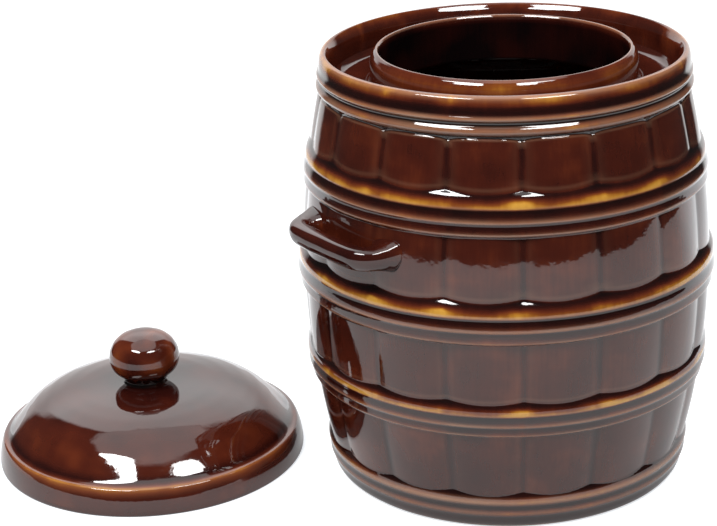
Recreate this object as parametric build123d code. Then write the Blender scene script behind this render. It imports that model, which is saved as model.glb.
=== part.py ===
from build123d import *
import math
import os

# Rumtopf pot: a staved stoneware barrel with a water channel round its mouth,
# two loop handles, and its domed lid lying beside it.
# Frame: the origin is at the centre of the pot's foot, on the surface it stands on.
# +Z is up, and the two handles lie along -X and +X. All sizes are millimetres.

# Driving dimensions: barrel wall
body_height = 265.5
belly_radius = 125.0
foot_radius = 107.0
wall_thickness = 8.0
stave_count = 17
stave_groove_depth = 1.8
first_groove_bearing = 173.0

# Driving dimensions: hoops, rim and foot ring
hoop_height = 14.4
hoop_proud = 3.4
rim_inner_radius = 104.6
foot_recess = 2.5
foot_ring_width = 8.0

# Driving dimensions: water channel and mouth
channel_depth = 22.0
mouth_radius = 74.6
collar_thickness = 5.8
shelf_thickness = 7.0

# Driving dimensions: handles
handle_level = 171.0
handle_half_width = 43.0
handle_thickness = 11.5
handle_height = 15.0
finger_gap = 7.0

# Driving dimensions: lid and knob
lid_height = 46.0
lid_wall = 6.0
knob_diameter = 44.0
knob_height = 34.8
knob_neck_diameter = 27.0
lid_distance = 229.5
lid_bearing = 141.6

# Named clearances
lid_channel_clearance = 4.8
collar_rise = 0.3

# The foot of a handle from the wall out: how far it stands off the wall as a share of the
# bar's thickness, and its spread as a share of the bar
handle_foot_shares = ((-0.35, 1.75), (0.12, 1.22), (0.6, 0.92))

# Each hoop from the lowest up: the level of its upper crest as a share of the body's height,
# how far it stands proud as a share of the belly hoop's, and its shoulder as a share of its height
hoop_shares = ((0.298, 0.7, 0.46), (0.531, 1.0, 0.66), (0.770, 0.65, 0.62))
belly_level_share = 0.49
base_crest_share = 0.067
rim_crest_share = 0.951

# Worked out from the driving dimensions
belly_level = belly_level_share * body_height
belly_drop = belly_radius - foot_radius
bow_radius = (belly_level ** 2 + belly_drop ** 2) / (2 * belly_drop)
stave_angle = 360 / stave_count
half_stave = math.radians(stave_angle / 2)
stave_spread = belly_radius * (1 - math.cos(half_stave))
stave_offset = stave_groove_depth * belly_radius / (stave_groove_depth + stave_spread)
channel_floor = body_height - channel_depth
shelf_bottom = channel_floor - shelf_thickness
channel_radius = rim_inner_radius - 0.2 * wall_thickness
collar_radius = mouth_radius + collar_thickness
collar_top = body_height + collar_rise
lid_radius = channel_radius - lid_channel_clearance
seam_level = hoop_shares[1][0] * body_height - 0.82 * hoop_height
knob_radius = knob_diameter / 2


def barrel_radius(level):
    """Radius of the bowed stave crests at a height above the foot."""
    rise = level - belly_level
    return belly_radius - bow_radius + math.sqrt(bow_radius ** 2 - rise ** 2)


def on_barrel(level, proud):
    """Point that stands proud of the stave crests at a height, as (radius, height)."""
    return (barrel_radius(level) + proud, level)


def barrel_arc(low, high, inset):
    """Bowed line between two heights, inset from the stave crests."""
    middle = (low + high) / 2
    return ThreePointArc(on_barrel(low, -inset), on_barrel(middle, -inset), on_barrel(high, -inset))


def filled(*edges):
    """Face inside a closed run of edges, drawn as (radius, height)."""
    return make_face(Curve() + list(edges))


def rounded(face, corners, radius):
    """The face with its corners at these points rounded."""
    picked = [face.vertices().sort_by_distance(Vector(*corner))[0] for corner in corners]
    return fillet(picked, radius)


def turned(face):
    """Solid turned about the Z axis from a face drawn as (radius, height)."""
    return revolve(Plane.XZ * face, axis=Axis.Z)


def stave(low, high):
    """One convex stave: a bowed lens turned about its own axis, cut to its share of the circle."""
    crest = barrel_arc(low, high, 0)
    lens = filled(
        crest,
        Line(on_barrel(high, 0), (stave_offset, high)),
        Line((stave_offset, high), (stave_offset, low)),
        Line((stave_offset, low), on_barrel(low, 0)),
    )
    solid = revolve(Plane.XZ * lens, axis=Axis((stave_offset, 0, 0), (0, 0, 1)))
    reach = 2 * belly_radius
    side = reach * math.tan(half_stave)
    wedge = extrude(make_face(Polyline((0, 0), (reach, -side), (reach, side), close=True)), high)
    return solid & wedge


def staved_core():
    """The barrel as a full solid of staves between the foot hoop and the rim."""
    low = 0.3 * base_crest_share * body_height
    high = rim_crest_share * body_height
    first = stave(low, high)
    bearings = [first_groove_bearing + stave_angle * (number + 0.5) for number in range(stave_count)]
    staves = [Rot(0, 0, bearing) * first for bearing in bearings]
    return staves[0].fuse(*staves[1:])


def hoop(crest, proud, shoulder_share):
    """Moulded hoop: a rounded shoulder, a band between two crests, a groove and a lower bead."""
    inset = wall_thickness / 2
    shoulder_top = crest + shoulder_share * hoop_height
    shoulder_middle = crest + 0.5 * shoulder_share * hoop_height
    band_middle = crest - 0.3 * hoop_height
    band_foot = crest - 0.54 * hoop_height
    groove = crest - 0.82 * hoop_height
    bead = crest - 1.05 * hoop_height
    toe = crest - 1.36 * hoop_height
    shoulder_line = on_barrel(shoulder_top, -stave_groove_depth)
    upper_crest = on_barrel(crest, 0.8 * proud)
    step_foot = on_barrel(crest - 0.08 * hoop_height, 0.8 * proud)
    lower_crest = on_barrel(band_foot, proud)
    groove_line = on_barrel(groove, 0.6 * proud)
    toe_line = on_barrel(toe, -stave_groove_depth)
    face = filled(
        Line(on_barrel(toe, -inset), toe_line),
        ThreePointArc(toe_line, on_barrel(bead, 0.78 * proud), groove_line),
        Line(groove_line, lower_crest),
        ThreePointArc(lower_crest, on_barrel(band_middle, 1.03 * proud), step_foot),
        Line(step_foot, upper_crest),
        ThreePointArc(upper_crest, on_barrel(shoulder_middle, 0.42 * proud), shoulder_line),
        Line(shoulder_line, on_barrel(shoulder_top, -inset)),
        Line(on_barrel(shoulder_top, -inset), on_barrel(toe, -inset)),
    )
    return turned(rounded(face, [lower_crest], 0.07 * hoop_height))


def rim_ring():
    """Rolled rim: a rounded lip over a sloped side, then a crest, a groove and a bead."""
    crest = rim_crest_share * body_height
    groove = crest - 0.22 * hoop_height
    bead = crest - 0.44 * hoop_height
    toe = crest - 0.8 * hoop_height
    inset = wall_thickness / 2
    lip_inner = (rim_inner_radius, body_height)
    lip_outer = (rim_inner_radius + 0.6 * wall_thickness, body_height)
    crest_point = on_barrel(crest, 1.05 * hoop_proud)
    groove_line = on_barrel(groove, 0.5 * hoop_proud)
    toe_point = on_barrel(toe, -stave_groove_depth)
    face = filled(
        Line(lip_inner, lip_outer),
        ThreePointArc(lip_outer, on_barrel(crest + 0.3 * hoop_height, 1.1 * hoop_proud), crest_point),
        Line(crest_point, groove_line),
        ThreePointArc(groove_line, on_barrel(bead, 0.8 * hoop_proud), toe_point),
        Line(toe_point, on_barrel(toe, -inset)),
        Line(on_barrel(toe, -inset), lip_inner),
    )
    return turned(rounded(face, [lip_inner, lip_outer], 0.28 * wall_thickness))


def foot_ring():
    """Foot hoop: a cove and a flat band that curves under to the ring the pot stands on."""
    crest = base_crest_share * body_height
    cove_top = crest + 0.45 * hoop_height
    band_foot = crest - 0.53 * hoop_height
    inset = wall_thickness / 2
    upper_crest = on_barrel(crest, 0.6 * hoop_proud)
    lower_crest = on_barrel(band_foot, 0.9 * hoop_proud)
    face = filled(
        Line((0, 0), (foot_radius, 0)),
        ThreePointArc((foot_radius, 0), on_barrel(0.4 * band_foot, 0.75 * hoop_proud), lower_crest),
        Line(lower_crest, upper_crest),
        ThreePointArc(
            upper_crest,
            on_barrel(crest + 0.2 * hoop_height, 0),
            on_barrel(cove_top, -stave_groove_depth),
        ),
        Line(on_barrel(cove_top, -stave_groove_depth), on_barrel(cove_top, -inset)),
        Line(on_barrel(cove_top, -inset), (0, cove_top)),
        Line((0, cove_top), (0, 0)),
    )
    return turned(rounded(face, [upper_crest, lower_crest], 0.07 * hoop_height))


def barrel_outside():
    """Everything the pot's outer surface encloses, before it is hollowed."""
    rings = []
    for level_share, proud_share, shoulder_share in hoop_shares:
        rings.append(hoop(level_share * body_height, proud_share * hoop_proud, shoulder_share))
    return staved_core().fuse(foot_ring(), rim_ring(), *rings)


def cavity():
    """The room inside: a rounded floor, the bowed wall, the shelf's ledge and the open top."""
    floor = foot_recess + wall_thickness
    ledge_width = 0.35 * wall_thickness
    ledge_foot = shelf_bottom - 2 * ledge_width
    wall_foot = on_barrel(floor, -wall_thickness)
    ledge_tip = (channel_radius - ledge_width, shelf_bottom)
    face = filled(
        Line((0, floor), wall_foot),
        barrel_arc(floor, ledge_foot, wall_thickness),
        Line(on_barrel(ledge_foot, -wall_thickness), ledge_tip),
        Line(ledge_tip, (channel_radius, shelf_bottom)),
        Line((channel_radius, shelf_bottom), (channel_radius, channel_floor)),
        Line((channel_radius, channel_floor), (rim_inner_radius, body_height - collar_thickness)),
        Line((rim_inner_radius, body_height - collar_thickness), (rim_inner_radius, 2 * body_height)),
        Line((rim_inner_radius, 2 * body_height), (0, 2 * body_height)),
        Line((0, 2 * body_height), (0, floor)),
    )
    return turned(rounded(face, [wall_foot], 1.4 * wall_thickness))


def foot_hollow():
    """Shallow recess under the floor, which leaves the ring that the pot stands on."""
    return Cylinder(
        radius=foot_radius - foot_ring_width,
        height=foot_recess,
        align=(Align.CENTER, Align.CENTER, Align.MIN),
    )


def channel_shelf():
    """Flat ring luted in under the rim: the coved floor of the water channel."""
    cove = 0.22 * channel_depth
    lip = 0.15 * shelf_thickness
    bend = math.sqrt(0.5) * cove
    cove_foot = (channel_radius - lip - cove, channel_floor)
    cove_middle = (channel_radius - lip - cove + bend, channel_floor + cove - bend)
    cove_tip = (channel_radius - lip, channel_floor + cove)
    wall_lean = (rim_inner_radius - channel_radius) / (channel_depth - collar_thickness)
    lip_tip = (channel_radius + wall_lean * cove, channel_floor + cove)
    face = filled(
        Line((collar_radius, shelf_bottom), (channel_radius, shelf_bottom)),
        Line((channel_radius, shelf_bottom), (channel_radius, channel_floor)),
        Line((channel_radius, channel_floor), lip_tip),
        Line(lip_tip, cove_tip),
        ThreePointArc(cove_tip, cove_middle, cove_foot),
        Line(cove_foot, (collar_radius, channel_floor)),
        Line((collar_radius, channel_floor), (collar_radius, shelf_bottom)),
    )
    return turned(face)


def mouth_collar():
    """Upright collar with a rounded lip, which stands in the shelf and makes the pot's mouth."""
    tops = [(collar_radius, collar_top), (mouth_radius, collar_top)]
    face = filled(
        Line((mouth_radius, shelf_bottom), (collar_radius, shelf_bottom)),
        Line((collar_radius, shelf_bottom), tops[0]),
        Line(tops[0], tops[1]),
        Line(tops[1], (mouth_radius, shelf_bottom)),
    )
    return turned(rounded(face, tops, 0.45 * collar_thickness))


def handle_bar():
    """Loop of clay along +X: an oval bar that leaves the wall, runs along it and comes back."""
    wall_line = barrel_radius(handle_level)
    reach = wall_line + finger_gap + handle_thickness / 2
    root = wall_line - 2 * wall_thickness
    bend = 0.4 * handle_half_width
    shoulder = reach - 0.05 * handle_half_width
    shoulders = [(shoulder, -handle_half_width), (shoulder, handle_half_width)]
    ends = [(root, -handle_half_width), (root, handle_half_width)]
    route = Polyline(ends[0], shoulders[0], (reach, 0), shoulders[1], ends[1])
    route = rounded(route, shoulders, bend)
    route = Pos(0, 0, handle_level) * rounded(route, [(reach, 0)], belly_radius)
    section = Plane(origin=route @ 0, z_dir=route % 0, x_dir=(0, 1, 0))
    return sweep(section * Ellipse(handle_thickness / 2, handle_height / 2), path=route)


def handle_foot(side):
    """Flared foot where one end of the bar spreads on the wall, on the left or the right."""
    wall_line = math.sqrt(barrel_radius(handle_level) ** 2 - handle_half_width ** 2)
    sections = []
    for stand_off, spread in handle_foot_shares:
        place = (wall_line + stand_off * handle_thickness, side * handle_half_width, handle_level)
        oval = Ellipse(spread * handle_thickness / 2, spread * handle_height / 2)
        sections.append(Plane(origin=place, x_dir=(0, 1, 0), z_dir=(1, 0, 0)) * oval)
    return loft(sections)


def handle(outside, bearing):
    """Handle at a bearing, with its two flared feet seated on the barrel's outer surface."""
    loop = handle_bar().fuse(handle_foot(-1), handle_foot(1))
    return Rot(0, 0, bearing) * loop - outside


def dome_line(radius, height, foot):
    """Three arcs, each tangent to the last, from the crown of a dome down to its foot."""
    side_share = (0.46, 0.963)
    haunch_share = (0.764, 0.765)
    side = (side_share[0] * radius, side_share[1] * height)
    haunch = (haunch_share[0] * radius, haunch_share[1] * height)
    crown_arc = TangentArc((0, height), side, tangent=(1, 0))
    side_arc = TangentArc(side, haunch, tangent=crown_arc % 1)
    haunch_arc = TangentArc(haunch, foot, tangent=side_arc % 1)
    return [crown_arc, side_arc, haunch_arc]


def lid_dome():
    """Low dome with a beaded ledge and a skirt that drops into the channel, hollow underneath."""
    shoulder = 0.34 * lid_height
    skirt_inside = lid_radius - lid_wall
    inner_height = lid_height - lid_wall
    bead = (0.965 * lid_radius, shoulder)
    groove = (0.93 * lid_radius, 1.17 * shoulder)
    skirt_side = (0.993 * lid_radius, 0.6 * shoulder)
    skirt_foot = (lid_radius, 0)
    rest_inside = (skirt_inside, 0)
    skirt_top = (skirt_inside, 0.3 * shoulder)
    face = filled(
        Line(rest_inside, skirt_foot),
        Line(skirt_foot, skirt_side),
        Line(skirt_side, bead),
        Line(bead, groove),
        *dome_line(lid_radius, lid_height, groove),
        Line((0, lid_height), (0, inner_height)),
        *dome_line(skirt_inside, inner_height, skirt_top),
        Line(skirt_top, rest_inside),
    )
    face = rounded(face, [skirt_side], 0.2 * lid_height)
    face = rounded(face, [bead], 0.03 * lid_height)
    face = rounded(face, [skirt_foot, rest_inside], 0.25 * lid_wall)
    return turned(face)


def lid_knob():
    """Slightly flattened ball on a short waisted neck, seated on the crown of the dome."""
    neck = knob_neck_diameter / 2
    ball_level = lid_height + 0.455 * knob_height
    top = lid_height + knob_height
    foot_level = lid_height - 0.5 * lid_wall
    waist_level = lid_height + 0.08 * knob_height
    flare = (1.25 * neck, foot_level)
    waist = (neck, waist_level)
    under = ball_level - waist_level
    chin = (1.12 * neck, waist_level + 0.13 * under)
    face = filled(
        Line((0, foot_level), flare),
        ThreePointArc(flare, (1.06 * neck, (foot_level + waist_level) / 2), waist),
        Line(waist, chin),
        Spline(chin, (knob_radius, ball_level), (0, top), tangents=[(1, 0.35), (-1, 0)]),
        Line((0, top), (0, foot_level)),
    )
    return turned(face)


def save(solid, name):
    """Write one named sub-part."""
    export_step(solid, "parts/" + name + ".step")


os.makedirs("parts", exist_ok=True)

outside = barrel_outside()
barrel = outside - cavity() - foot_hollow()
seam = Plane(origin=(0, 0, seam_level))
save(split(barrel, bisect_by=seam, keep=Keep.BOTTOM), "lower_barrel")
save(split(barrel, bisect_by=seam, keep=Keep.TOP), "upper_barrel")
save(channel_shelf(), "channel_shelf")
save(mouth_collar(), "mouth_collar")
save(handle(outside, 180), "near_handle")
save(handle(outside, 0), "far_handle")

lid_angle = math.radians(lid_bearing)
lid_place = Pos(lid_distance * math.cos(lid_angle), lid_distance * math.sin(lid_angle), 0)
dome = lid_dome()
save(lid_place * dome, "lid_dome")
save(lid_place * (lid_knob() - dome), "lid_knob")
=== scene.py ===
import math

import bmesh
import bpy
import numpy as np
from mathutils import Matrix, Vector, noise


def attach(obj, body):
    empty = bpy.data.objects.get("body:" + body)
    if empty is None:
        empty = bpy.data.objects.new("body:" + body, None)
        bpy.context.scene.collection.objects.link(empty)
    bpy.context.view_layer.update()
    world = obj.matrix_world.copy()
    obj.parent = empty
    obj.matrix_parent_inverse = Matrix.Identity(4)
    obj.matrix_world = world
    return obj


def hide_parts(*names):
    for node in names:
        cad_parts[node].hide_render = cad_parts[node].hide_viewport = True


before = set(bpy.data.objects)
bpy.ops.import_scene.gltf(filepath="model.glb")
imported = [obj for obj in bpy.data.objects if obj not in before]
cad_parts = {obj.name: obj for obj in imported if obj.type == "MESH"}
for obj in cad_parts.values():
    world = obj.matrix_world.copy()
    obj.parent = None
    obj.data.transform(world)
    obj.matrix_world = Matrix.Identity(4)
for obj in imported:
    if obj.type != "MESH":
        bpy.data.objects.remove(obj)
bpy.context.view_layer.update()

# Camera
# It stands in front and to the left of the pot, some 30 cm above its mouth, and looks down on
# the lid and into the water channel.
camera_place = (-0.72996, -0.92430, 0.57759)
camera_heading = -33.870
camera_dip = 20.875
camera_roll = -2.017
camera_lens = 101.70

camera = bpy.data.objects.new("camera", bpy.data.cameras.new("camera"))
bpy.context.scene.collection.objects.link(camera)
camera.data.lens = camera_lens
camera.matrix_world = (
    Matrix.Translation(camera_place)
    @ Matrix.Rotation(math.radians(camera_heading), 4, "Z")
    @ Matrix.Rotation(math.radians(90 - camera_dip), 4, "X")
    @ Matrix.Rotation(math.radians(camera_roll), 4, "Z")
)
bpy.context.scene.camera = camera
bpy.context.scene.view_settings.view_transform = "Standard"

# Barrel
# The wall is cast stoneware with moulded staves, three hoops, a rolled rim and a foot hoop. Its
# dark red-brown gloss glaze runs thin and amber on the crests, pools dark in the grooves, and
# is wiped off the foot ring. Sizes here and below are in millimetres.
mm = 0.001
body_height = 265.5
belly_radius = 125.0
belly_level = 130.1
bow_radius = 479.2
wall = 8.0
foot_radius = 107.0
foot_recess = 2.5
foot_ring_width = 8.0
lip_radius = 107.2
channel_radius = 103.0
channel_floor = 243.5
stave_count = 17
stave_angle = 2 * math.pi / stave_count
first_groove = math.radians(173.0)
steps_a_stave = 15

# Each hoop's upper crest: its height, its share of the belly hoop's stand, and the share of its
# height
hoops = ((79.2, 0.72, 0.84), (141.2, 1.0, 1.0), (204.2, 0.68, 0.96))

# One hoop from its shoulder down: height above its upper crest, stand over the staves, depth of
# the glaze, and how far the pale clay shows through it
hoop_line = (
    (13.8, -5.2, 0.60, 0.0), (12.6, -4.1, 0.66, 0.0), (11.2, -3.0, 0.80, 0.0),
    (9.9, -2.05, 0.92, 0.0), (8.8, -1.15, 0.94, 0.0), (7.7, -0.3, 0.92, 0.0),
    (6.6, 0.5, 0.82, 0.0), (5.4, 1.28, 0.64, 0.0), (4.2, 1.95, 0.42, 0.0),
    (3.0, 2.40, 0.26, 0.0), (1.8, 2.64, 0.16, 0.0), (0.8, 2.74, 0.09, 0.06),
    (0.0, 2.70, 0.10, 0.42), (-0.6, 2.62, 0.40, 0.14), (-1.1, 2.58, 0.84, 0.0),
    (-2.0, 2.62, 0.92, 0.0), (-3.2, 2.84, 0.84, 0.0), (-4.6, 3.10, 0.74, 0.0),
    (-6.0, 3.32, 0.60, 0.04), (-7.2, 3.46, 0.46, 0.25), (-8.1, 3.50, 0.36, 0.54),
    (-8.7, 3.36, 0.44, 0.30), (-9.1, 2.95, 0.62, 0.05), (-9.6, 2.55, 0.76, 0.0),
    (-10.4, 2.40, 0.78, 0.0), (-12.0, 2.36, 0.72, 0.0), (-13.6, 2.34, 0.60, 0.0),
    (-14.9, 2.36, 0.52, 0.10), (-15.7, 2.34, 0.40, 0.50), (-16.3, 1.95, 0.56, 0.24),
    (-17.0, 0.9, 0.58, 0.0), (-17.7, -0.5, 0.58, 0.0), (-18.6, -2.3, 0.58, 0.0),
    (-20.0, -5.0, 0.58, 0.0),
)

# The rim from its lip down to the stave tops, and the foot hoop: height, radius, depth, clay
rim_line = (
    (body_height, lip_radius, 0.38, 0.08), (265.4, 108.1, 0.32, 0.20), (264.9, 109.0, 0.25, 0.40),
    (264.1, 109.7, 0.24, 0.32), (263.1, 110.2, 0.28, 0.10), (261.6, 110.6, 0.33, 0.0),
    (260.2, 110.8, 0.46, 0.0), (258.9, 110.9, 0.74, 0.0), (256.6, 111.0, 0.88, 0.0),
    (255.0, 111.3, 0.80, 0.0), (254.0, 112.0, 0.48, 0.20), (253.1, 112.5, 0.28, 0.58),
    (252.3, 112.4, 0.38, 0.40), (251.4, 111.7, 0.74, 0.10), (250.4, 111.0, 0.96, 0.0),
    (249.2, 111.0, 0.96, 0.0), (248.3, 111.8, 0.56, 0.15), (247.3, 112.6, 0.42, 0.26),
    (246.2, 113.1, 0.35, 0.42), (245.0, 113.0, 0.42, 0.30), (243.9, 112.3, 0.62, 0.20),
    (242.9, 111.2, 0.92, 0.0), (242.0, 110.6, 0.96, 0.0), (241.0, 110.2, 0.94, 0.0),
    (239.5, 108.6, 0.84, 0.0),
)
foot_line = (
    (27.0, 109.6, 0.70, 0.0), (25.4, 111.2, 0.90, 0.0), (23.8, 112.3, 0.92, 0.0),
    (22.2, 113.0, 0.80, 0.0), (20.8, 113.4, 0.50, 0.12), (19.5, 113.65, 0.36, 0.42),
    (18.4, 113.7, 0.30, 0.72), (17.4, 113.5, 0.36, 0.52), (16.4, 113.0, 0.62, 0.10),
    (15.2, 112.6, 0.88, 0.0), (13.8, 112.5, 0.88, 0.0), (12.6, 112.6, 0.62, 0.05),
    (11.4, 112.75, 0.44, 0.25), (10.4, 112.7, 0.40, 0.35), (9.4, 112.3, 0.56, 0.10),
    (8.2, 111.7, 0.84, 0.0), (6.5, 111.2, 0.80, 0.0), (4.5, 110.8, 0.76, 0.0),
    (2.6, 110.1, 0.72, 0.0), (1.4, 109.2, 0.66, 0.3), (0.7, 108.3, 0.50, 0.9),
    (0.0, foot_radius, 0.40, 1.0),
)


def bow(level):
    """Radius of the stave crests at a height."""
    return belly_radius - bow_radius + np.sqrt(bow_radius ** 2 - (level - belly_level) ** 2)


def drawn(points, cuts, closed=False):
    """A line through points given as (radius, height), each run cut finer."""
    bm = bmesh.new()
    ends = [bm.verts.new((radius * mm, 0, height * mm)) for radius, height in points]
    runs = [bm.edges.new(pair) for pair in zip(ends, ends[1:] + ends[:closed])]
    for run, count in zip(runs, cuts):
        if count:
            bmesh.ops.subdivide_edges(bm, edges=[run], cuts=count)
    return bm


def turned(bm, name, steps, centre=(0, 0)):
    """The line turned round an upright axis, as one closed smooth piece."""
    bmesh.ops.translate(bm, vec=(centre[0], centre[1], 0), verts=bm.verts)
    bmesh.ops.spin(
        bm, geom=bm.verts[:] + bm.edges[:], cent=(centre[0], centre[1], 0), axis=(0, 0, 1),
        angle=2 * math.pi, steps=steps, use_merge=True,
    )
    bmesh.ops.remove_doubles(bm, verts=bm.verts, dist=0.001 * mm)
    bmesh.ops.recalc_face_normals(bm, faces=bm.faces)
    return made(bm, name)


def made(bm, name):
    """A smooth-shaded object from a finished bmesh."""
    mesh = bpy.data.meshes.new(name)
    bm.to_mesh(mesh)
    bm.free()
    for polygon in mesh.polygons:
        polygon.use_smooth = True
    piece = bpy.data.objects.new(name, mesh)
    bpy.context.scene.collection.objects.link(piece)
    return piece


def places(piece):
    """The piece's vertices as an array in millimetres."""
    flat = np.empty(3 * len(piece.data.vertices))
    piece.data.vertices.foreach_get("co", flat)
    return flat.reshape(-1, 3) / mm


def set_places(piece, points):
    """Moves the piece's vertices to these places in millimetres."""
    piece.data.vertices.foreach_set("co", (points * mm).ravel())
    piece.data.update()


def wobble(points, size, height, seed):
    """Hand-made unevenness at these places: soft swells of this size and height."""
    shift = Vector((seed, 2.3 * seed, 5.1 * seed))
    return height * np.array([noise.noise(Vector(point) / size + shift) for point in points])


def close_to(middle, reach, values, power=2):
    """1 where a value is at the middle, falling to nothing over this reach."""
    return np.exp(-((values - middle) / reach) ** power)


def set_glaze(piece, depth, clay=0.0):
    """Writes how thick the glaze lies, from 0 thin to 1 pooled, and how far the clay shows; some
    pieces add painted shade and highlight to them.
    """
    count = len(piece.data.vertices)
    for name, amount in (("glaze_depth_and_painted_light", depth), ("clay_and_painted_highlight", clay)):
        layer = piece.data.attributes.new(name, "FLOAT", "POINT")
        layer.data.foreach_set("value", np.clip(np.broadcast_to(amount, count), 0, 1))


def softened(levels, values, softness):
    """The line through these values, in fine steps, softened as glaze softens an edge."""
    step = 0.05
    margin = 20
    fine = np.arange(min(levels) - margin, max(levels) + margin, step)
    order = np.argsort(levels)
    line = np.interp(fine, np.array(levels)[order], np.array(values)[order])
    reach = np.arange(-3 * softness, 3 * softness + step, step)
    weight = np.exp(-(reach / softness) ** 2)
    padded = np.pad(line, len(reach) // 2, mode="edge")
    return fine, np.convolve(padded, weight / weight.sum(), mode="valid")[:len(fine)]


# The line that is turned, as radius, height and cuts of the run to the next point: the pot's
# floor, the inside of its wall, the seat of the shelf, the channel's wall and the lip
floor_level = foot_recess + wall
floor_inset = 25.6
barrel_line = [(0.0, floor_level, 6), (float(bow(floor_level)) - floor_inset, floor_level, 0)]
for height, inset in (
    (11.6, 17.6), (15.4, 11.6), (22.0, 8.4), (50.0, wall), (90.0, wall), (130.0, wall),
    (170.0, wall), (205.0, wall),
):
    barrel_line.append((float(bow(height)) - inset, height, 1))
barrel_line += [
    (float(bow(229.0)) - wall, 229.0, 0), (100.4, 235.6, 0), (102.0, 236.4, 0),
    (channel_radius, 239.0, 0), (channel_radius, channel_floor, 5), (103.2, 255.5, 1),
    (103.5, 258.6, 1), (104.0, 260.6, 1), (104.8, 262.2, 1), (105.7, 263.6, 1),
    (106.5, 264.9, 1), (lip_radius, body_height, 6),
]
# Then the outside, with its rows dense over the rim, the hoops and the foot hoop, and the
# foot ring with the recess inside it
barrel_line += [(113.0, 263.0, 42), (113.2, 239.4, 5)]
hoop_runs = (
    (12.0, 13), (5.0, 5), (1.5, 9), (-2.0, 6), (-6.0, 10), (-11.0, 6), (-14.6, 10), (-19.2, 6),
)
for crest, _, _ in reversed(hoops):
    for rise, cuts in hoop_runs:
        barrel_line.append((float(bow(crest + rise)), crest + rise, cuts))
foot_inner = foot_radius - foot_ring_width
barrel_line += [
    (float(bow(27.5)), 27.5, 26), (113.5, 9.0, 12), (foot_radius, 0.0, 2), (foot_inner, 0.0, 0),
    (foot_inner - 0.6, foot_recess, 8), (0.0, foot_recess, 0),
]
barrel_line = drawn(
    [point[:2] for point in barrel_line], [point[2] for point in barrel_line[:-1]]
)
barrel = turned(barrel_line, "staved_barrel", steps=steps_a_stave * stave_count)

barrel_places = places(barrel)
radius = np.hypot(barrel_places[:, 0], barrel_places[:, 1])
angle = np.arctan2(barrel_places[:, 1], barrel_places[:, 0])
level = barrel_places[:, 2]

# Rows round the barrel drawn closer together at the grooves between the staves
gathering = 0.62
share = (angle - first_groove) / stave_angle
across = share - np.round(share)
angle = angle - gathering * stave_angle * np.sin(2 * math.pi * across) / (2 * math.pi)
share = (angle - first_groove) / stave_angle
across = np.abs(share - np.round(share)) * stave_angle * radius

line_levels, stands, depths, clays = [], [], [], []
for rise, line_radius, depth, clay in rim_line + foot_line:
    line_levels.append(rise)
    stands.append(line_radius - float(bow(rise)))
    depths.append(depth)
    clays.append(clay)
for crest, stand_share, height_share in hoops:
    for rise, stand, depth, clay in hoop_line:
        line_levels.append(crest + rise * height_share)
        stands.append(stand * stand_share if stand > 0 else stand)
        depths.append(depth)
        clays.append(clay)
edge_softness, glaze_softness = 0.3, 0.35
fine, stand_table = softened(line_levels, stands, edge_softness)
fine, clay_table = softened(line_levels, clays, edge_softness)
fine, depth_table = softened(line_levels, depths, glaze_softness)

# Which vertices are outside: on the rim all beyond the lip, below it all beyond the middle of
# the wall, and none of the foot ring's flat underside
rim_bottom, beyond_lip, above_table = 240, 0.1, 0.02
in_wall = bow(level) - 0.5 * wall
outer = np.where(level > rim_bottom, radius > lip_radius + beyond_lip, radius > in_wall)
outer = outer & (level > above_table)

# The staves: crowned between their grooves, plain behind each handle's finger gap, and rounded
# off at the top under the rim
groove_depth = 1.8
groove_rounding = 1.0
crown_fullness = 2.1
handle_bearing = 2.0
gap_level, gap_half_height, gap_half_width = 171.0, 15.0, 0.30
groove_lost_in_gap = 0.85
stave_end_level, stave_end_drop, stave_end_half = 241.0, 2.2, 4.0
stave_end_depth, stave_end_run = 2.2, 1.5
stave_half = 0.5 * stave_angle * np.maximum(radius, 1.0)
groove_share = np.clip(np.sqrt(across ** 2 + groove_rounding) / stave_half, 0, 1)
stave_valley = groove_depth * (1 - groove_share) ** crown_fullness
off_handle = np.abs(np.sin(angle - math.radians(handle_bearing)))
behind_handle = close_to(gap_level, gap_half_height, level, 4)
behind_handle = behind_handle * close_to(0, gap_half_width, off_handle, 6)
stave_valley = stave_valley * (1 - groove_lost_in_gap * behind_handle)
stave_top = stave_end_level - stave_end_drop * np.exp(-across / stave_end_half)
past_top = np.clip((level - stave_top) / stave_end_run, 0, 1)
stave_valley = stave_valley + stave_end_depth * past_top ** 2
stave_radius = bow(level) - stave_valley

# The hoops and rim lie over the staves, and a thin fillet of glaze softens where they meet
fillet = 0.16
fillet_most = 0.05
swell_room = 0.1
ring_radius = bow(level) + np.interp(level, fine, stand_table)
top = np.maximum(stave_radius, ring_radius)
outer_radius = top + fillet * np.log(
    np.exp((stave_radius - top) / fillet) + np.exp((ring_radius - top) / fillet)
)
outer_radius = np.minimum(outer_radius, top + fillet_most)
swell = wobble(barrel_places, size=38.0, height=0.16, seed=3.0)
swell = swell + wobble(barrel_places, size=11.0, height=0.035, seed=7.0)
radius = np.where(outer, outer_radius + swell - swell_room, radius)
set_places(barrel, np.column_stack((radius * np.cos(angle), radius * np.sin(angle), level)))

# The glaze on the hoops and rim: uneven along them, and amber under the ends of the grooves
patches = wobble(barrel_places, size=26.0, height=0.34, seed=11.0)
patches = patches + wobble(barrel_places, size=8.0, height=0.17, seed=13.0)
blend_width = 0.8
patchy_from, patchy_least, patchy_most = 1.1, 0.15, 0.8
shoulder_rise, shoulder_half = 3.4, 2.4
shoulder_pool, amber_thinning, amber_half_width = 0.07, 0.24, 10.0
ring_share = np.clip((ring_radius - stave_radius) / blend_width + 0.5, 0, 1)
ring_depth = np.interp(level, fine, depth_table)
ring_depth = ring_depth + patches * np.clip(patchy_from - ring_depth, patchy_least, patchy_most)
for crest, _, _ in hoops:
    shoulder = close_to(shoulder_rise, shoulder_half, level - crest)
    amber = amber_thinning * close_to(0, amber_half_width, across)
    ring_depth = ring_depth + shoulder * (shoulder_pool - amber)

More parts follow.
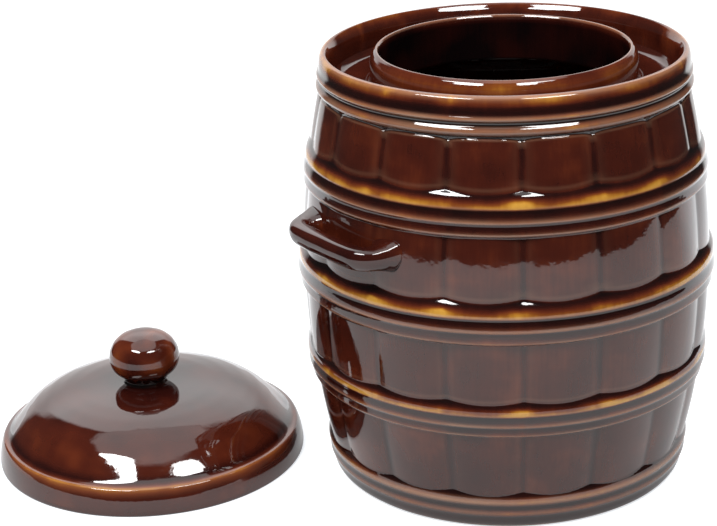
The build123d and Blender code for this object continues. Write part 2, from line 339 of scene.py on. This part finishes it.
# The glaze on the staves: pooled in the grooves, with the clay faintly showing beside them,
# along the scalloped ends over each hoop, and on the edge under the rim
stave_glaze, stave_patches = 0.56, 0.4
groove_pool, groove_pool_half = 0.16, 1.6
groove_edge, groove_edge_half, groove_edge_clay = 4.2, 1.5, 0.03
scallop_over, scallop_half, scallop_clay = -2.1, 0.9, 0.09
scallop_rise, scallop_half_height = 9.0, 6.0
stave_end_edge, stave_end_edge_half, stave_end_clay = 0.1, 0.55, 0.20
in_groove = groove_pool * close_to(0, groove_pool_half, across)
stave_depth = stave_glaze + in_groove * (1 - behind_handle) + stave_patches * patches
near_hoop = sum(
    close_to(scallop_rise, scallop_half_height, level - crest, 4) for crest, _, _ in hoops
)
scallop = near_hoop * close_to(scallop_over, scallop_half, ring_radius - stave_radius)
beside_groove = close_to(groove_edge, groove_edge_half, across)
stave_clay = groove_edge_clay * beside_groove + scallop_clay * scallop
under_rim = close_to(stave_end_edge, stave_end_edge_half, level - stave_top)
stave_clay = stave_clay * (1 - behind_handle) + stave_end_clay * under_rim

clay_patches, inside_patches = 1.6, 0.6
ring_clay = np.interp(level, fine, clay_table) * (1 + clay_patches * patches)
clay = ring_share * ring_clay + (1 - ring_share) * stave_clay
depth = ring_share * ring_depth + (1 - ring_share) * stave_depth
inside_darkness = np.interp(level, (244, 254, 262, 265), (0.64, 0.62, 0.56, 0.38))
inside_darkness = inside_darkness + inside_patches * patches
set_glaze(barrel, np.where(outer, depth, inside_darkness), np.where(outer, clay, 0.0))


def glaze(name, streak=0.06):
    """Gloss glaze: amber where it lies thin, red-brown, near black where it pools and where shade
    is painted in.
    """
    material = bpy.data.materials.new(name)
    material.use_nodes = True
    nodes, links = material.node_tree.nodes, material.node_tree.links
    shader = nodes["Principled BSDF"]
    shader.inputs["Roughness"].default_value = 0.045
    shader.inputs["IOR"].default_value = 1.62
    place = nodes.new("ShaderNodeTexCoord").outputs["Object"]

    def cloudy(fineness, detail, place):
        """Clouds of this fineness."""
        texture = nodes.new("ShaderNodeTexNoise")
        texture.inputs["Scale"].default_value = fineness
        texture.inputs["Detail"].default_value = detail
        links.new(place, texture.inputs["Vector"])
        return texture.outputs["Fac"]

    # How thick it lies, with the painted shade and highlight that some pieces add, with soft
    # mottling and with runs drawn out downwards
    mottle = 0.10
    drawn_down = nodes.new("ShaderNodeMapping")
    drawn_down.inputs["Scale"].default_value = (1, 1, 0.06)
    links.new(place, drawn_down.inputs["Vector"])
    lies = nodes.new("ShaderNodeAttribute")
    lies.attribute_name = "glaze_depth_and_painted_light"
    total = lies.outputs["Fac"]
    for clouds, strength in (
        (cloudy(55, 4, place), mottle),
        (cloudy(420, 3, drawn_down.outputs["Vector"]), streak),
    ):
        centred = nodes.new("ShaderNodeMath")
        centred.operation = "MULTIPLY_ADD"
        centred.inputs[1].default_value = 2 * strength
        centred.inputs[2].default_value = -strength
        links.new(clouds, centred.inputs[0])
        added = nodes.new("ShaderNodeMath")
        added.operation = "ADD"
        links.new(total, added.inputs[0])
        links.new(centred.outputs[0], added.inputs[1])
        total = added.outputs[0]

    # Its colour by its depth, and the clay that shows where it has run off an edge; on some
    # pieces both carry painted shade and highlight
    colours = nodes.new("ShaderNodeValToRGB")
    stops = colours.color_ramp.elements
    stops[0].position, stops[0].color = 0.0, (0.62, 0.32, 0.050, 1)
    stops[1].position, stops[1].color = 1.0, (0.004, 0.0020, 0.0022, 1)
    for position, colour in (
        (0.12, (0.45, 0.19, 0.022, 1)),
        (0.26, (0.22, 0.060, 0.010, 1)),
        (0.40, (0.125, 0.0240, 0.0080, 1)),
        (0.55, (0.062, 0.0105, 0.0050, 1)),
        (0.75, (0.024, 0.0042, 0.0030, 1)),
    ):
        stops.new(position).color = colour
    links.new(total, colours.inputs["Fac"])
    shows = nodes.new("ShaderNodeAttribute")
    shows.attribute_name = "clay_and_painted_highlight"
    thinned = nodes.new("ShaderNodeMixRGB")
    thinned.inputs["Color2"].default_value = (0.46, 0.25, 0.15, 1)
    links.new(shows.outputs["Fac"], thinned.inputs["Fac"])
    links.new(colours.outputs["Color"], thinned.inputs["Color1"])
    links.new(thinned.outputs["Color"], shader.inputs["Base Color"])

    # The faint orange-peel of its skin
    bump = nodes.new("ShaderNodeBump")
    bump.inputs["Strength"].default_value = 0.3
    bump.inputs["Distance"].default_value = 0.0002
    links.new(cloudy(130, 2, place), bump.inputs["Height"])
    links.new(bump.outputs["Normal"], shader.inputs["Normal"])
    return material


barrel.data.materials.append(glaze("barrel_glaze"))
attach(barrel, "pot")
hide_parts("lower_barrel", "upper_barrel")

# Channel shelf
# A flat ring of stoneware luted in under the rim: the floor of the water channel, glazed in
# one with the wall and the collar, so that its two corners are soft coves.
shelf_bottom = 236.5
collar_radius = 80.4
shelf_line = drawn(
    [
        (collar_radius - 0.4, shelf_bottom), (channel_radius - 0.4, shelf_bottom),
        (channel_radius - 0.1, 240.0), (channel_radius + 0.45, 249.6), (102.2, 247.2),
        (100.2, 245.2), (96.6, 243.9), (86.0, 243.6), (83.2, 244.4), (81.4, 245.9),
        (collar_radius, 248.4), (collar_radius - 0.6, 248.6),
    ],
    [4, 1, 1, 3, 3, 3, 8, 3, 3, 3, 0, 2], closed=True,
)
shelf = turned(shelf_line, "channel_shelf_glazed", steps=192)


def smoothed(piece, rounds, part=lambda place: True):
    """The part of the piece's surface that is named, sponged smooth in so many rounds."""
    for _ in range(rounds):
        bm = bmesh.new()
        bm.from_mesh(piece.data)
        bmesh.ops.smooth_vert(
            bm, verts=[vert for vert in bm.verts if part(vert.co)], factor=0.5,
            use_axis_x=True, use_axis_y=True, use_axis_z=True,
        )
        bm.to_mesh(piece.data)
        bm.free()


cove_bottom, cove_inner, cove_outer = (side * mm for side in (243.0, 81.0, 102.9))
smoothed(
    shelf, 8,
    lambda place: place.z > cove_bottom and cove_inner < place.xy.length < cove_outer,
)
shelf_glaze = 0.62
set_glaze(shelf, shelf_glaze + wobble(places(shelf), size=24.0, height=0.08, seed=4.0))
shelf.data.materials.append(glaze("shelf_glaze", streak=0.03))
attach(shelf, "pot")
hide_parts("channel_shelf")

# Mouth collar
# The upright ring that is the pot's mouth, thrown in stoneware and luted on the shelf. Its
# round lip catches the light, its outside shows amber through thin glaze, and its inside is
# painted near black as shade.
mouth_radius = 74.6
collar_top = 265.4
collar_line = drawn(
    [
        (mouth_radius, shelf_bottom), (collar_radius, shelf_bottom), (collar_radius, 256.0),
        (80.2, 258.6), (79.7, 260.7), (78.9, 262.5), (77.8, 264.2), (76.4, collar_top),
        (75.6, 265.3), (74.9, 264.2), (mouth_radius, 262.0), (mouth_radius, 240.0),
    ],
    [1, 10, 3, 3, 3, 3, 3, 3, 3, 3, 10, 1], closed=True,
)
collar = turned(collar_line, "mouth_collar_glazed", steps=192)
collar_places = places(collar)
collar_level = collar_places[:, 2]
collar_out = np.hypot(collar_places[:, 0], collar_places[:, 1])
outside_depth = np.interp(
    collar_level, (244, 250, 257, 261, 265.0), (0.66, 0.58, 0.46, 0.38, 0.46)
)
# Inside the mouth the glaze is painted near black as shade, up to the thinner glaze of the lip
inside_darkness = np.interp(collar_level, (238, 260, 264, 265.4), (0.97, 0.94, 0.60, 0.40))
collar_middle = 76.0
collar_depth_and_shade = np.where(collar_out < collar_middle, inside_darkness, outside_depth)
collar_depth_and_shade = collar_depth_and_shade + wobble(collar_places, size=22.0, height=0.22, seed=6.0)
lip_crest, lip_half, lip_level, lip_clay_most = 75.6, 0.7, 264, 0.30
lip_clay = lip_clay_most * close_to(lip_crest, lip_half, collar_out) * (collar_level > lip_level)
set_glaze(collar, collar_depth_and_shade, lip_clay)
collar.data.materials.append(glaze("collar_glaze", streak=0.05))
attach(collar, "pot")
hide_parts("mouth_collar")

# Handles
# Two loops of stoneware between the upper hoops, each a thick bar with rounded corners, bent
# round while soft and luted on at its two ends, where it spreads out on the wall.
handle_level = 170.7
handle_half_width = 36.5
handle_root = 110.0
handle_reach = 135.1
handle_bend = 12.5
bar_turn = math.radians(4.0)
bar_radius = handle_bend + (handle_half_width - handle_bend) / math.sin(bar_turn)
bar_half_height = 6.8
bar_half_thickness = 6.2
bar_fullness = 0.72
underside_slant = 0.25
foot_rows, corner_rows, bar_rows = 10, 12, 16


def loop(name, bearing):
    """One handle: its bar drawn straight out of the wall, bent along it and back."""
    bm = bmesh.new()
    verts = bmesh.ops.create_circle(bm, segments=36, radius=1.0)["verts"]
    for vert in verts:
        vert.co.x, vert.co.y = (
            math.copysign(abs(side) ** bar_fullness, side) for side in vert.co.xy
        )
        vert.co.y += underside_slant * max(vert.co.x, 0)
    bmesh.ops.transform(
        bm, verts=verts,
        matrix=Matrix.Translation((handle_root * mm, -handle_half_width * mm, handle_level * mm))
        @ Matrix.Rotation(math.pi / 2, 4, "Y")
        @ Matrix.Diagonal((bar_half_height * mm, bar_half_thickness * mm, 1, 1)),
    )
    end = list({edge for vert in verts for edge in vert.link_edges})
    bow_centre = handle_reach - bar_radius
    bend_start = bow_centre + (bar_radius - handle_bend) * math.cos(bar_turn)
    straight = (bend_start - handle_root) * mm / foot_rows

    def edges_of(grown):
        """The edges of what has grown, from which the bar goes on."""
        return [item for item in grown if isinstance(item, bmesh.types.BMEdge)]

    def pulled(end, step):
        """The bar pulled straight along by one step for each row."""
        for _ in range(foot_rows):
            grown = bmesh.ops.extrude_edge_only(bm, edges=end)["geom"]
            row = [item for item in grown if isinstance(item, bmesh.types.BMVert)]
            bmesh.ops.translate(bm, vec=(step, 0, 0), verts=row)
            end = edges_of(grown)
        return end

    def bent(end, centre, angle, steps):
        """The bar bent round an upright axis at this centre."""
        verts = list({vert for edge in end for vert in edge.verts})
        return edges_of(bmesh.ops.spin(
            bm, geom=verts + end, cent=(centre[0] * mm, centre[1] * mm, 0), axis=(0, 0, 1),
            angle=angle, steps=steps, use_merge=False,
        )["geom_last"])

    corner = math.pi / 2 - bar_turn
    end = pulled(end, straight)
    end = bent(end, (bend_start, handle_bend - handle_half_width), corner, corner_rows)
    end = bent(end, (bow_centre, 0), 2 * bar_turn, bar_rows)
    end = bent(end, (bend_start, handle_half_width - handle_bend), corner, corner_rows)
    pulled(end, -straight)
    bmesh.ops.holes_fill(bm, edges=[edge for edge in bm.edges if edge.is_boundary])
    bmesh.ops.recalc_face_normals(bm, faces=bm.faces)
    handle = made(bm, name)

    # The web of clay pressed into each inner corner, and the foot spread out on the wall
    web_middle, web_reach, web_width, gap_clear = 115.0, 8.5, 7.0, 12
    foot_start, foot_reach, foot_end, foot_curve = 115.5, 6.0, 126, 1.4
    spread_wide, spread_high = 0.42, 0.5
    spots = places(handle)
    out, along = spots[:, 0], spots[:, 1]
    spread = close_to(0, foot_reach, np.clip(out - foot_start, 0, None), foot_curve)
    side = np.sign(along) * handle_half_width
    inner = np.clip((handle_half_width - np.abs(along)) / bar_half_thickness, 0, 1)
    inner = inner * np.clip(np.abs(along) / gap_clear, 0, 1)
    along = along - web_width * np.sign(along) * inner * close_to(web_middle, web_reach, out)
    foot = out < foot_end
    up = spots[:, 2] - handle_level
    spots[:, 1] = np.where(foot, side + (along - side) * (1 + spread_wide * spread), along)
    spots[:, 2] = np.where(foot, handle_level + up * (1 + spread_high * spread), spots[:, 2])
    turn = math.radians(bearing)
    spots[:, :2] = spots[:, :2] @ np.array(
        ((math.cos(turn), math.sin(turn)), (-math.sin(turn), math.cos(turn)))
    )

    # A painted highlight makes the glaze thinnest on top of the root, and painted shade makes it
    # thickest underneath
    bar_glaze, root_painted_highlight, underside_painted_shade = 0.70, 0.28, 0.10
    root_out, root_half, root_rise, root_rise_half = 121.0, 5.0, 0.5, 0.5
    rise = (spots[:, 2] - handle_level) / bar_half_height
    root = close_to(root_out, root_half, np.hypot(spots[:, 0], spots[:, 1]))
    # Painted highlight on top of the root, painted shade on the underside
    root_top_highlight = root_painted_highlight * root * close_to(root_rise, root_rise_half, rise)
    depth = bar_glaze - root_top_highlight + underside_painted_shade * np.clip(-rise, 0, 1)
    set_glaze(handle, depth + wobble(spots, size=17.0, height=0.16, seed=8.0))
    hand_made = 0.2
    spots += hand_made * wobble(spots, size=16.0, height=1.0, seed=9.0)[:, None]
    set_places(handle, spots)
    return handle


handle_glaze = glaze("handle_glaze", streak=0.0)
for name, node, bearing in (
    ("near_loop", "near_handle", 180 + handle_bearing),
    ("far_loop", "far_handle", handle_bearing),
):
    handle = loop(name, bearing)
    handle.data.materials.append(handle_glaze)
    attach(handle, "pot")
    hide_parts(node)

# Lid dome
# A low stoneware dome turned on the wheel, hollow below, with a ledge near its edge and a
# skirt that drops into the water channel. Its glaze thins to amber on the ledge's crest.
lid_centre = (-179.86 * mm, 142.55 * mm)
crown_shift = (-1.05, 0.83)
lid_points = [
    (0.0, 48.0), (14.0, 47.9), (28.0, 47.3), (42.0, 45.9), (54.0, 43.7), (64.0, 40.6),
    (72.0, 36.6), (78.0, 32.0), (82.6, 27.3), (86.6, 22.9), (89.6, 19.6), (91.6, 18.0),
    (93.9, 17.3), (94.8, 16.6), (95.4, 15.4), (96.4, 12.6), (97.2, 9.4), (97.8, 5.6),
    (98.1, 2.4), (98.0, 0.9), (97.2, 0.05), (94.0, 0.0), (92.4, 0.6), (92.2, 2.4),
    (91.6, 6.0), (88.0, 12.6), (80.0, 20.6), (68.0, 28.8), (50.0, 35.6), (28.0, 39.2),
    (0.0, 40.0),
]
lid_cuts = [
    4, 4, 4, 4, 3, 3, 3, 3, 2, 2, 2, 2, 2, 2, 3, 2, 2, 2, 1, 2, 1, 1, 1, 1, 2, 2, 2, 2, 2, 2,
]
dome = turned(drawn(lid_points, lid_cuts), "domed_lid", steps=288, centre=lid_centre)
smoothed(dome, 2)

# The dome is a little uneven from the hand, and its crown leans
edge_height, lean_start, lean_run = 10, 18, 30
dome_places = places(dome)
dome_level = dome_places[:, 2]
dome_radius = np.hypot(
    dome_places[:, 0] - lid_centre[0] / mm, dome_places[:, 1] - lid_centre[1] / mm
)
dome_swell = wobble(dome_places, size=34.0, height=0.16, seed=5.0)
dome_places[:, 2] += dome_swell * np.clip(dome_level / edge_height, 0, 1)
lean = np.clip((dome_level - lean_start) / lean_run, 0, 1)
dome_places[:, :2] += lean[:, None] * np.array(crown_shift)
set_places(dome, dome_places)

# The glaze by the distance from the crown. On the ledge the back is painted darker as shade,
# and the front, toward the camera and the soft boxes as the lid lies, gets a pale painted
# highlight
lid_front = (-0.61978, -0.78478)
lid_half_width = 94
ledge_radius, ledge_half, ledge_bottom = 94.3, 1.6, 12
back_painted_shade, shade_front_limit, front_painted_highlight = 0.34, 0.75, 0.14
dome_patchiness, underside_glaze, skirt_edge = 0.35, 0.6, 3
dome_glaze_and_shade = np.interp(
    dome_radius,
    (20, 60, 80, 86, 89.6, 92.2, 94.0, 95.2, 96.4, 98.2),
    (0.74, 0.66, 0.50, 0.54, 0.80, 0.42, 0.20, 0.36, 0.60, 0.60),
)
dome_patches = wobble(dome_places, size=30.0, height=0.34, seed=14.0)
dome_patches = dome_patches + wobble(dome_places, size=9.0, height=0.14, seed=15.0)
from_centre = dome_places[:, :2] - np.array(lid_centre) / mm
front = from_centre @ np.array(lid_front) / lid_half_width
ledge = close_to(ledge_radius, ledge_half, dome_radius) * (dome_level > ledge_bottom)
# Painted shade on the back of the ledge
dome_glaze_and_shade += back_painted_shade * ledge * np.clip(shade_front_limit - front, 0, 1)
dome_glaze_and_shade += dome_patchiness * dome_patches
# A pale painted highlight on the front of the ledge
dome_painted_highlight = front_painted_highlight * ledge * np.clip(front, 0, 1) ** 2
set_glaze(dome, np.where(dome_level > skirt_edge, dome_glaze_and_shade, underside_glaze), dome_painted_highlight)
dome.data.materials.append(glaze("lid_glaze", streak=0.0))
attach(dome, "lid")
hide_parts("lid_dome")

# Lid knob
# A slightly flattened stoneware ball on a short waisted neck, turned by hand and luted to the
# crown, so it stands where the crown leans to.
knob_points = [
    (0.0, 44.8), (15.0, 44.8), (14.7, 47.6), (13.7, 48.7), (13.1, 49.8), (13.2, 51.0),
    (14.6, 52.5), (17.8, 54.3), (20.6, 57.2), (22.1, 61.0), (22.5, 65.0), (21.7, 70.0),
    (18.9, 75.0), (14.4, 78.7), (8.2, 81.0), (0.0, 81.8),
]
knob_cuts = [1, 1, 1, 1, 1, 1, 1, 2, 2, 3, 3, 3, 3, 3, 3]
knob_seat = 46 * mm
knob = turned(drawn(knob_points, knob_cuts), "ball_knob", steps=128, centre=lid_centre)
smoothed(knob, 3, lambda place: place.z > knob_seat)
knob_places = places(knob)
knob_depth = np.interp(
    knob_places[:, 2],
    (45, 48, 50, 53, 59, 77, 82),
    (0.66, 0.80, 0.80, 0.60, 0.52, 0.50, 0.56),
)
knob_places[:, :2] += np.array(crown_shift)
set_places(knob, knob_places)
set_glaze(knob, knob_depth + wobble(knob_places, size=11.0, height=0.22, seed=16.0))
knob.data.materials.append(glaze("knob_glaze", streak=0.0))
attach(knob, "lid")
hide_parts("lid_knob")

# Table and light
# A round white table top, a bright backdrop behind it, and two soft boxes above and behind the
# camera, one on each side. Sizes here are in metres.
away = Vector((0.61978, 0.78478, 0.0))
aside = Vector((0.78478, -0.61978, 0.0))


def maths(operation, *inputs):
    """A maths node on these inputs, which are numbers or other nodes' outputs."""
    node = nodes.new("ShaderNodeMath")
    node.operation = operation
    for socket, item in zip(node.inputs, inputs):
        if isinstance(item, (int, float)):
            socket.default_value = item
        else:
            links.new(item, socket)
    return node.outputs[0]


def part_of(place, direction):
    """How far a place or a direction of view lies along this direction."""
    node = nodes.new("ShaderNodeVectorMath")
    node.operation = "DOT_PRODUCT"
    node.inputs[1].default_value = direction
    links.new(place, node.inputs[0])
    return node.outputs["Value"]


def ramp(source, low, high, least=0.0):
    """Rises smoothly from the least at low to 1 at high."""
    node = nodes.new("ShaderNodeMapRange")
    node.interpolation_type = "SMOOTHSTEP"
    node.inputs["From Min"].default_value = low
    node.inputs["From Max"].default_value = high
    node.inputs["To Min"].default_value = least
    links.new(source, node.inputs["Value"])
    return node.outputs["Result"]


table_radius = 0.95
table_shown = 0.78
mirrored_in_front, front_end, back_start = 0.30, 0.05, 0.35
table_mesh = bmesh.new()
bmesh.ops.create_circle(table_mesh, cap_ends=True, segments=128, radius=table_radius)
table = made(table_mesh, "table_top")
table_white = bpy.data.materials.new("table_white")
table_white.use_nodes = True
nodes, links = table_white.node_tree.nodes, table_white.node_tree.links
shader = nodes["Principled BSDF"]
shader.inputs["Base Color"].default_value = (0.62, 0.62, 0.62, 1)
shader.inputs["Roughness"].default_value = 0.9
shader.inputs["Specular IOR Level"].default_value = 0.0
shader.inputs["Emission Color"].default_value = (0.92, 0.96, 1.0, 1)
seen_by = nodes.new("ShaderNodeLightPath").outputs
table_place = nodes.new("ShaderNodeTexCoord").outputs["Object"]
# In the glaze's reflections the table glows as well, dimmer toward its front: painted light
mirrored = ramp(part_of(table_place, away), front_end, back_start, least=mirrored_in_front)
mirrored = maths("MULTIPLY", seen_by["Is Glossy Ray"], mirrored)
shown = maths("MULTIPLY_ADD", seen_by["Is Camera Ray"], table_shown, mirrored)
links.new(shown, shader.inputs["Emission Strength"])
table.data.materials.append(table_white)


def soft_box(name, bearing, rise, width, height, radiance):
    """An oval soft box facing the pot's belly: its bearing to the right of away, and its rise."""
    distance, belly = 1.6, Vector((0, 0, 0.13))
    turn, rise = math.radians(bearing), math.radians(rise)
    direction = (
        away * (math.cos(rise) * math.cos(turn)) + aside * (math.cos(rise) * math.sin(turn))
        + Vector((0, 0, math.sin(rise)))
    )
    lamp = bpy.data.lights.new(name, "AREA")
    lamp.shape = "ELLIPSE"
    lamp.size = width
    lamp.size_y = height
    lamp.energy = radiance * math.pi * math.pi / 4 * width * height
    box = bpy.data.objects.new(name, lamp)
    box.location = direction * distance + belly
    box.rotation_euler = direction.to_track_quat("Z", "Y").to_euler()
    box.visible_camera = False
    bpy.context.scene.collection.objects.link(box)


soft_box("left_box", bearing=-136, rise=52, width=0.84, height=0.32, radiance=25)
soft_box("right_box", bearing=146, rise=54, width=0.76, height=0.30, radiance=22)

# The room: dark, with a backdrop that is brighter higher up, and a white ceiling above it
backdrop_low, backdrop_more, ceiling_white, room_dark = 1.25, 1.0, 1.6, 0.045
world = bpy.data.worlds.new("studio")
bpy.context.scene.world = world
world.use_nodes = True
nodes, links = world.node_tree.nodes, world.node_tree.links
background = nodes["Background"]
background.inputs["Color"].default_value = (1, 1, 1, 1)
view = nodes.new("ShaderNodeTexCoord").outputs["Generated"]
bearing = maths("ARCTAN2", part_of(view, aside), part_of(view, away))
rise = maths("ARCSINE", part_of(view, Vector((0, 0, 1))))


def between(source, start, end):
    """Rises from 0 to 1 between two angles, given in degrees."""
    return ramp(source, math.radians(start), math.radians(end))


sides = maths("MULTIPLY", between(bearing, -46, -38), between(bearing, 38, 30))
backdrop = maths("MULTIPLY", sides, between(rise, 64, 60))
backdrop_white = maths("MULTIPLY_ADD", between(rise, 16, 34), backdrop_more, backdrop_low)
backdrop = maths("MULTIPLY", backdrop, backdrop_white)
ceiling = maths("MULTIPLY", between(rise, 59, 63), ceiling_white)
room = maths("MAXIMUM", maths("MAXIMUM", backdrop, ceiling), room_dark)
seen_by = nodes.new("ShaderNodeLightPath").outputs
strength = maths("MAXIMUM", room, seen_by["Is Camera Ray"])
links.new(strength, background.inputs["Strength"])
